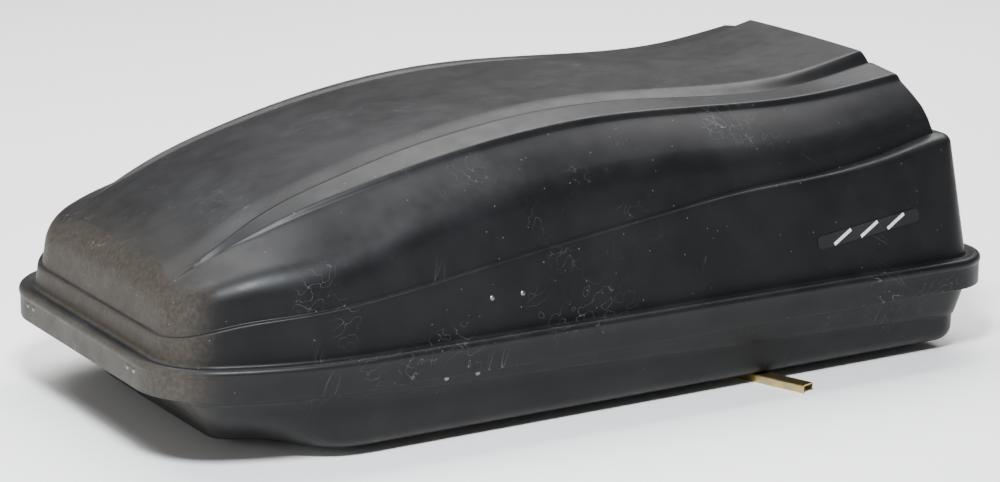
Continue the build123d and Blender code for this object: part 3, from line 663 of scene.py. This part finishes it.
def ribbed_plate(name):
    """A dark plate whose raised ribs are painted silver."""
    mat = moulded_plastic(name, (0.010, 0.010, 0.011), 0.36, 0.06, 0.4, 0.4)
    nt = mat.node_tree
    shader = nt.nodes["Principled BSDF"]
    coords = add(nt, "ShaderNodeTexCoord").outputs["Object"]
    split = add(nt, "ShaderNodeSeparateXYZ", {0: coords})
    lean = math.atan(DRAFT)
    out = maths(nt, "MULTIPLY", maths(nt, "ABSOLUTE", split.outputs["Y"]), math.cos(lean))
    out = maths(nt, "ADD", out, maths(nt, "MULTIPLY", split.outputs["Z"], math.sin(lean)))
    face = ((HALF_W - WALL_IN) * math.cos(lean) + SEAM * math.sin(lean)) * 0.001
    raised = ramp(nt, out, face + 0.0019, face + 0.0022)
    worn = ramp(nt, noise(nt, coords, 300.0, 4.0, 0.6), 0.25, 0.5, 0.6, 1.0)
    old = shader.inputs["Base Color"].links[0].from_socket
    tone = blend_colour(nt, maths(nt, "MULTIPLY", raised, worn), old, colour(0.55, 0.55, 0.54))
    nt.links.new(tone, shader.inputs["Base Color"])
    return mat


MATERIALS = {
    "shell_plastic": moulded_plastic("black_lid_plastic", (0.0040, 0.0040, 0.0045), 0.41),
    "tray_plastic": moulded_plastic("black_tray_plastic", (0.0065, 0.0064, 0.0066), 0.44,
                                    0.14, 0.6, 0.5),
    "name_plate_plastic": ribbed_plate("plate_plastic"),
    "rivet_aluminium": metal("rivet_aluminium", (0.22, 0.22, 0.23), 0.42, 1.0, 220.0),
    "hinge_steel": metal("hinge_steel", (0.50, 0.50, 0.50), 0.38, 1.0, 90.0),
    "pin_steel": metal("pin_steel", (0.58, 0.58, 0.59), 0.30, 1.0, 160.0),
    "stay_steel": metal("stay_steel", (0.46, 0.46, 0.47), 0.36, 1.0, 70.0),
    "lock_chrome": metal("lock_chrome", (0.74, 0.74, 0.75), 0.16, 1.0, 120.0, 0.03),
    "lock_steel": metal("lock_steel", (0.52, 0.52, 0.53), 0.34, 1.0, 110.0),
    "clamp_zinc": metal("yellow_zinc", (0.62, 0.46, 0.17), 0.34, 1.0, 45.0, 0.08,
                        (0.40, 0.33, 0.20)),
    "clamp_bolt_steel": metal("bolt_steel", (0.50, 0.50, 0.50), 0.36, 1.0, 130.0),
    "wing_nut_zinc": metal("wing_nut_zinc", (0.60, 0.61, 0.63), 0.38, 1.0, 110.0),
}
for row in frame["record"]["subparts"]:
    mesh = frame["nodes"][row["node"]].data
    mesh.materials.clear()
    mesh.materials.append(MATERIALS[row["material_slot"]])
lid.data.materials.append(MATERIALS["shell_plastic"])
base.data.materials.append(MATERIALS["tray_plastic"])


# --- camera ---
CAMERA_TILT = 75.32
CAMERA_HEADING = 30.35
camera_data = bpy.data.cameras.new("camera")
camera = bpy.data.objects.new("camera", camera_data)
bpy.context.scene.collection.objects.link(camera)
camera.location = (-2.94754, -5.05140, 1.76031)
camera.rotation_euler = (math.radians(CAMERA_TILT), 0, math.radians(-CAMERA_HEADING))
camera_data.sensor_width = 36.0
camera_data.lens = 115.28
camera_data.clip_end = 100.0
bpy.context.scene.camera = camera

# --- floor and light ---
VIEW = (math.sin(math.radians(CAMERA_HEADING)), math.cos(math.radians(CAMERA_HEADING)))


def plain(name, tone, rough=0.6):
    mat, nt, shader = node_tree(name)
    coords = add(nt, "ShaderNodeTexCoord").outputs["Object"]
    soft = noise(nt, coords, 0.8, 3.0, 0.5)
    darker = colour(*[c * 0.97 for c in tone])
    shade = blend_colour(nt, ramp(nt, soft, 0.3, 0.7), darker, colour(*tone))
    nt.links.new(shade, shader.inputs["Base Color"])
    shader.inputs["Roughness"].default_value = rough
    return mat


def panel(name, corners, mat):
    mesh = bpy.data.meshes.new(name)
    mesh.from_pydata(corners, [], [(0, 1, 2, 3)])
    piece = bpy.data.objects.new(name, mesh)
    bpy.context.scene.collection.objects.link(piece)
    mesh.materials.append(mat)
    return piece


FLOOR_HALF = 30
panel("floor", [
    (-FLOOR_HALF, -FLOOR_HALF, 0), (FLOOR_HALF, -FLOOR_HALF, 0),
    (FLOOR_HALF, FLOOR_HALF, 0), (-FLOOR_HALF, FLOOR_HALF, 0),
], plain("floor_paint", (0.80, 0.795, 0.785)))


def softbox(name, place, aim, size, power, tone=(1, 1, 1)):
    data = bpy.data.lights.new(name, "AREA")
    data.shape = "RECTANGLE"
    data.size, data.size_y = size
    data.energy = power
    data.color = tone
    lamp = bpy.data.objects.new(name, data)
    bpy.context.scene.collection.objects.link(lamp)
    lamp.location = place
    lamp.rotation_euler = (Vector(aim) - Vector(place)).to_track_quat("-Z", "Y").to_euler()
    return lamp


softbox("key", (-1.5, -2.2, 3.2), (-0.4, -0.3, 0.3), (0.8, 0.7), 400.0, (0.90, 0.95, 1.0))
softbox("overhead", (1.6, 1.0, 3.6), (0.6, 0.4, 0.0), (2.0, 1.4), 40.0)
softbox("left_front", (-3.8, -0.6, 1.0), (-0.7, 0.1, 0.15), (1.6, 1.0), 26.0)
FAR_FLOOR = 8.6          # metres from the camera
far_x = camera.location.x + VIEW[0] * FAR_FLOOR
far_y = camera.location.y + VIEW[1] * FAR_FLOOR
softbox("far_floor", (far_x, far_y, 4.6), (far_x, far_y, 0), (9.0, 4.0), 900.0)
world = bpy.data.worlds.new("studio")
bpy.context.scene.world = world
world.use_nodes = True
world.node_tree.nodes["Background"].inputs[0].default_value = (1.0, 0.995, 0.985, 1)
world.node_tree.nodes["Background"].inputs[1].default_value = 0.21
